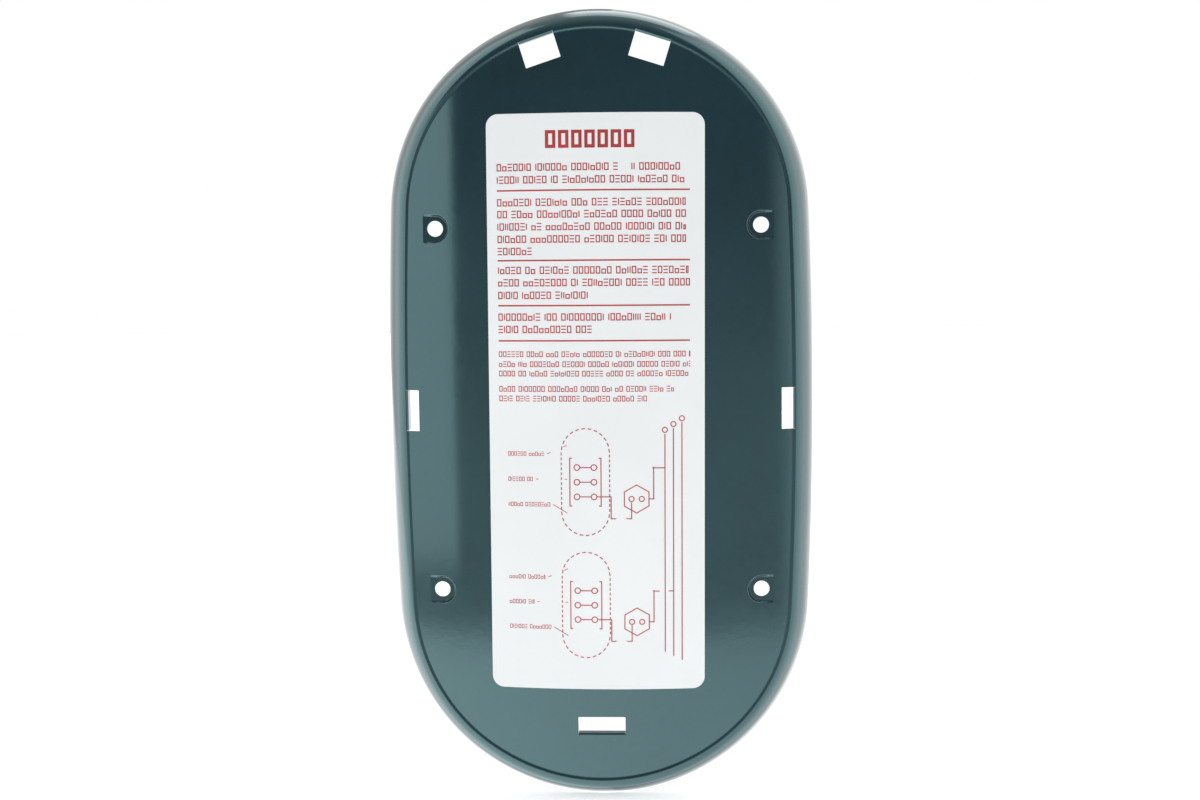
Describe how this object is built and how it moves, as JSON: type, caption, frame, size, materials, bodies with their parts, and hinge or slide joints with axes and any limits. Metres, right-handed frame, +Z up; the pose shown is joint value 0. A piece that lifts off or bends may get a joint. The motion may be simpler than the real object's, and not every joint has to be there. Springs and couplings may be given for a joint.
{
  "type": "water heater access cover",
  "caption": "Curved oval steel access cover for a tank water heater, with a raised rim, recessed screw seats, lanced tabs and a face label.",
  "frame": {"origin": "middle of the four screw holes, in the plane that the screw heads press on", "axes": "+Z up along the cover's length, -Y out of the face towards the person in front of it, +X to that person's right"},
  "size_m": [0.1532, 0.0191, 0.2794],
  "materials": {
    "cover_paint": "smooth gloss paint, very dark blue-green",
    "label_stock": "satin white label stock with dark red print"
  },
  "bodies": {
    "root": {"cover_panel": "cover_paint", "label": "label_stock"}
  },
  "joints": []
}
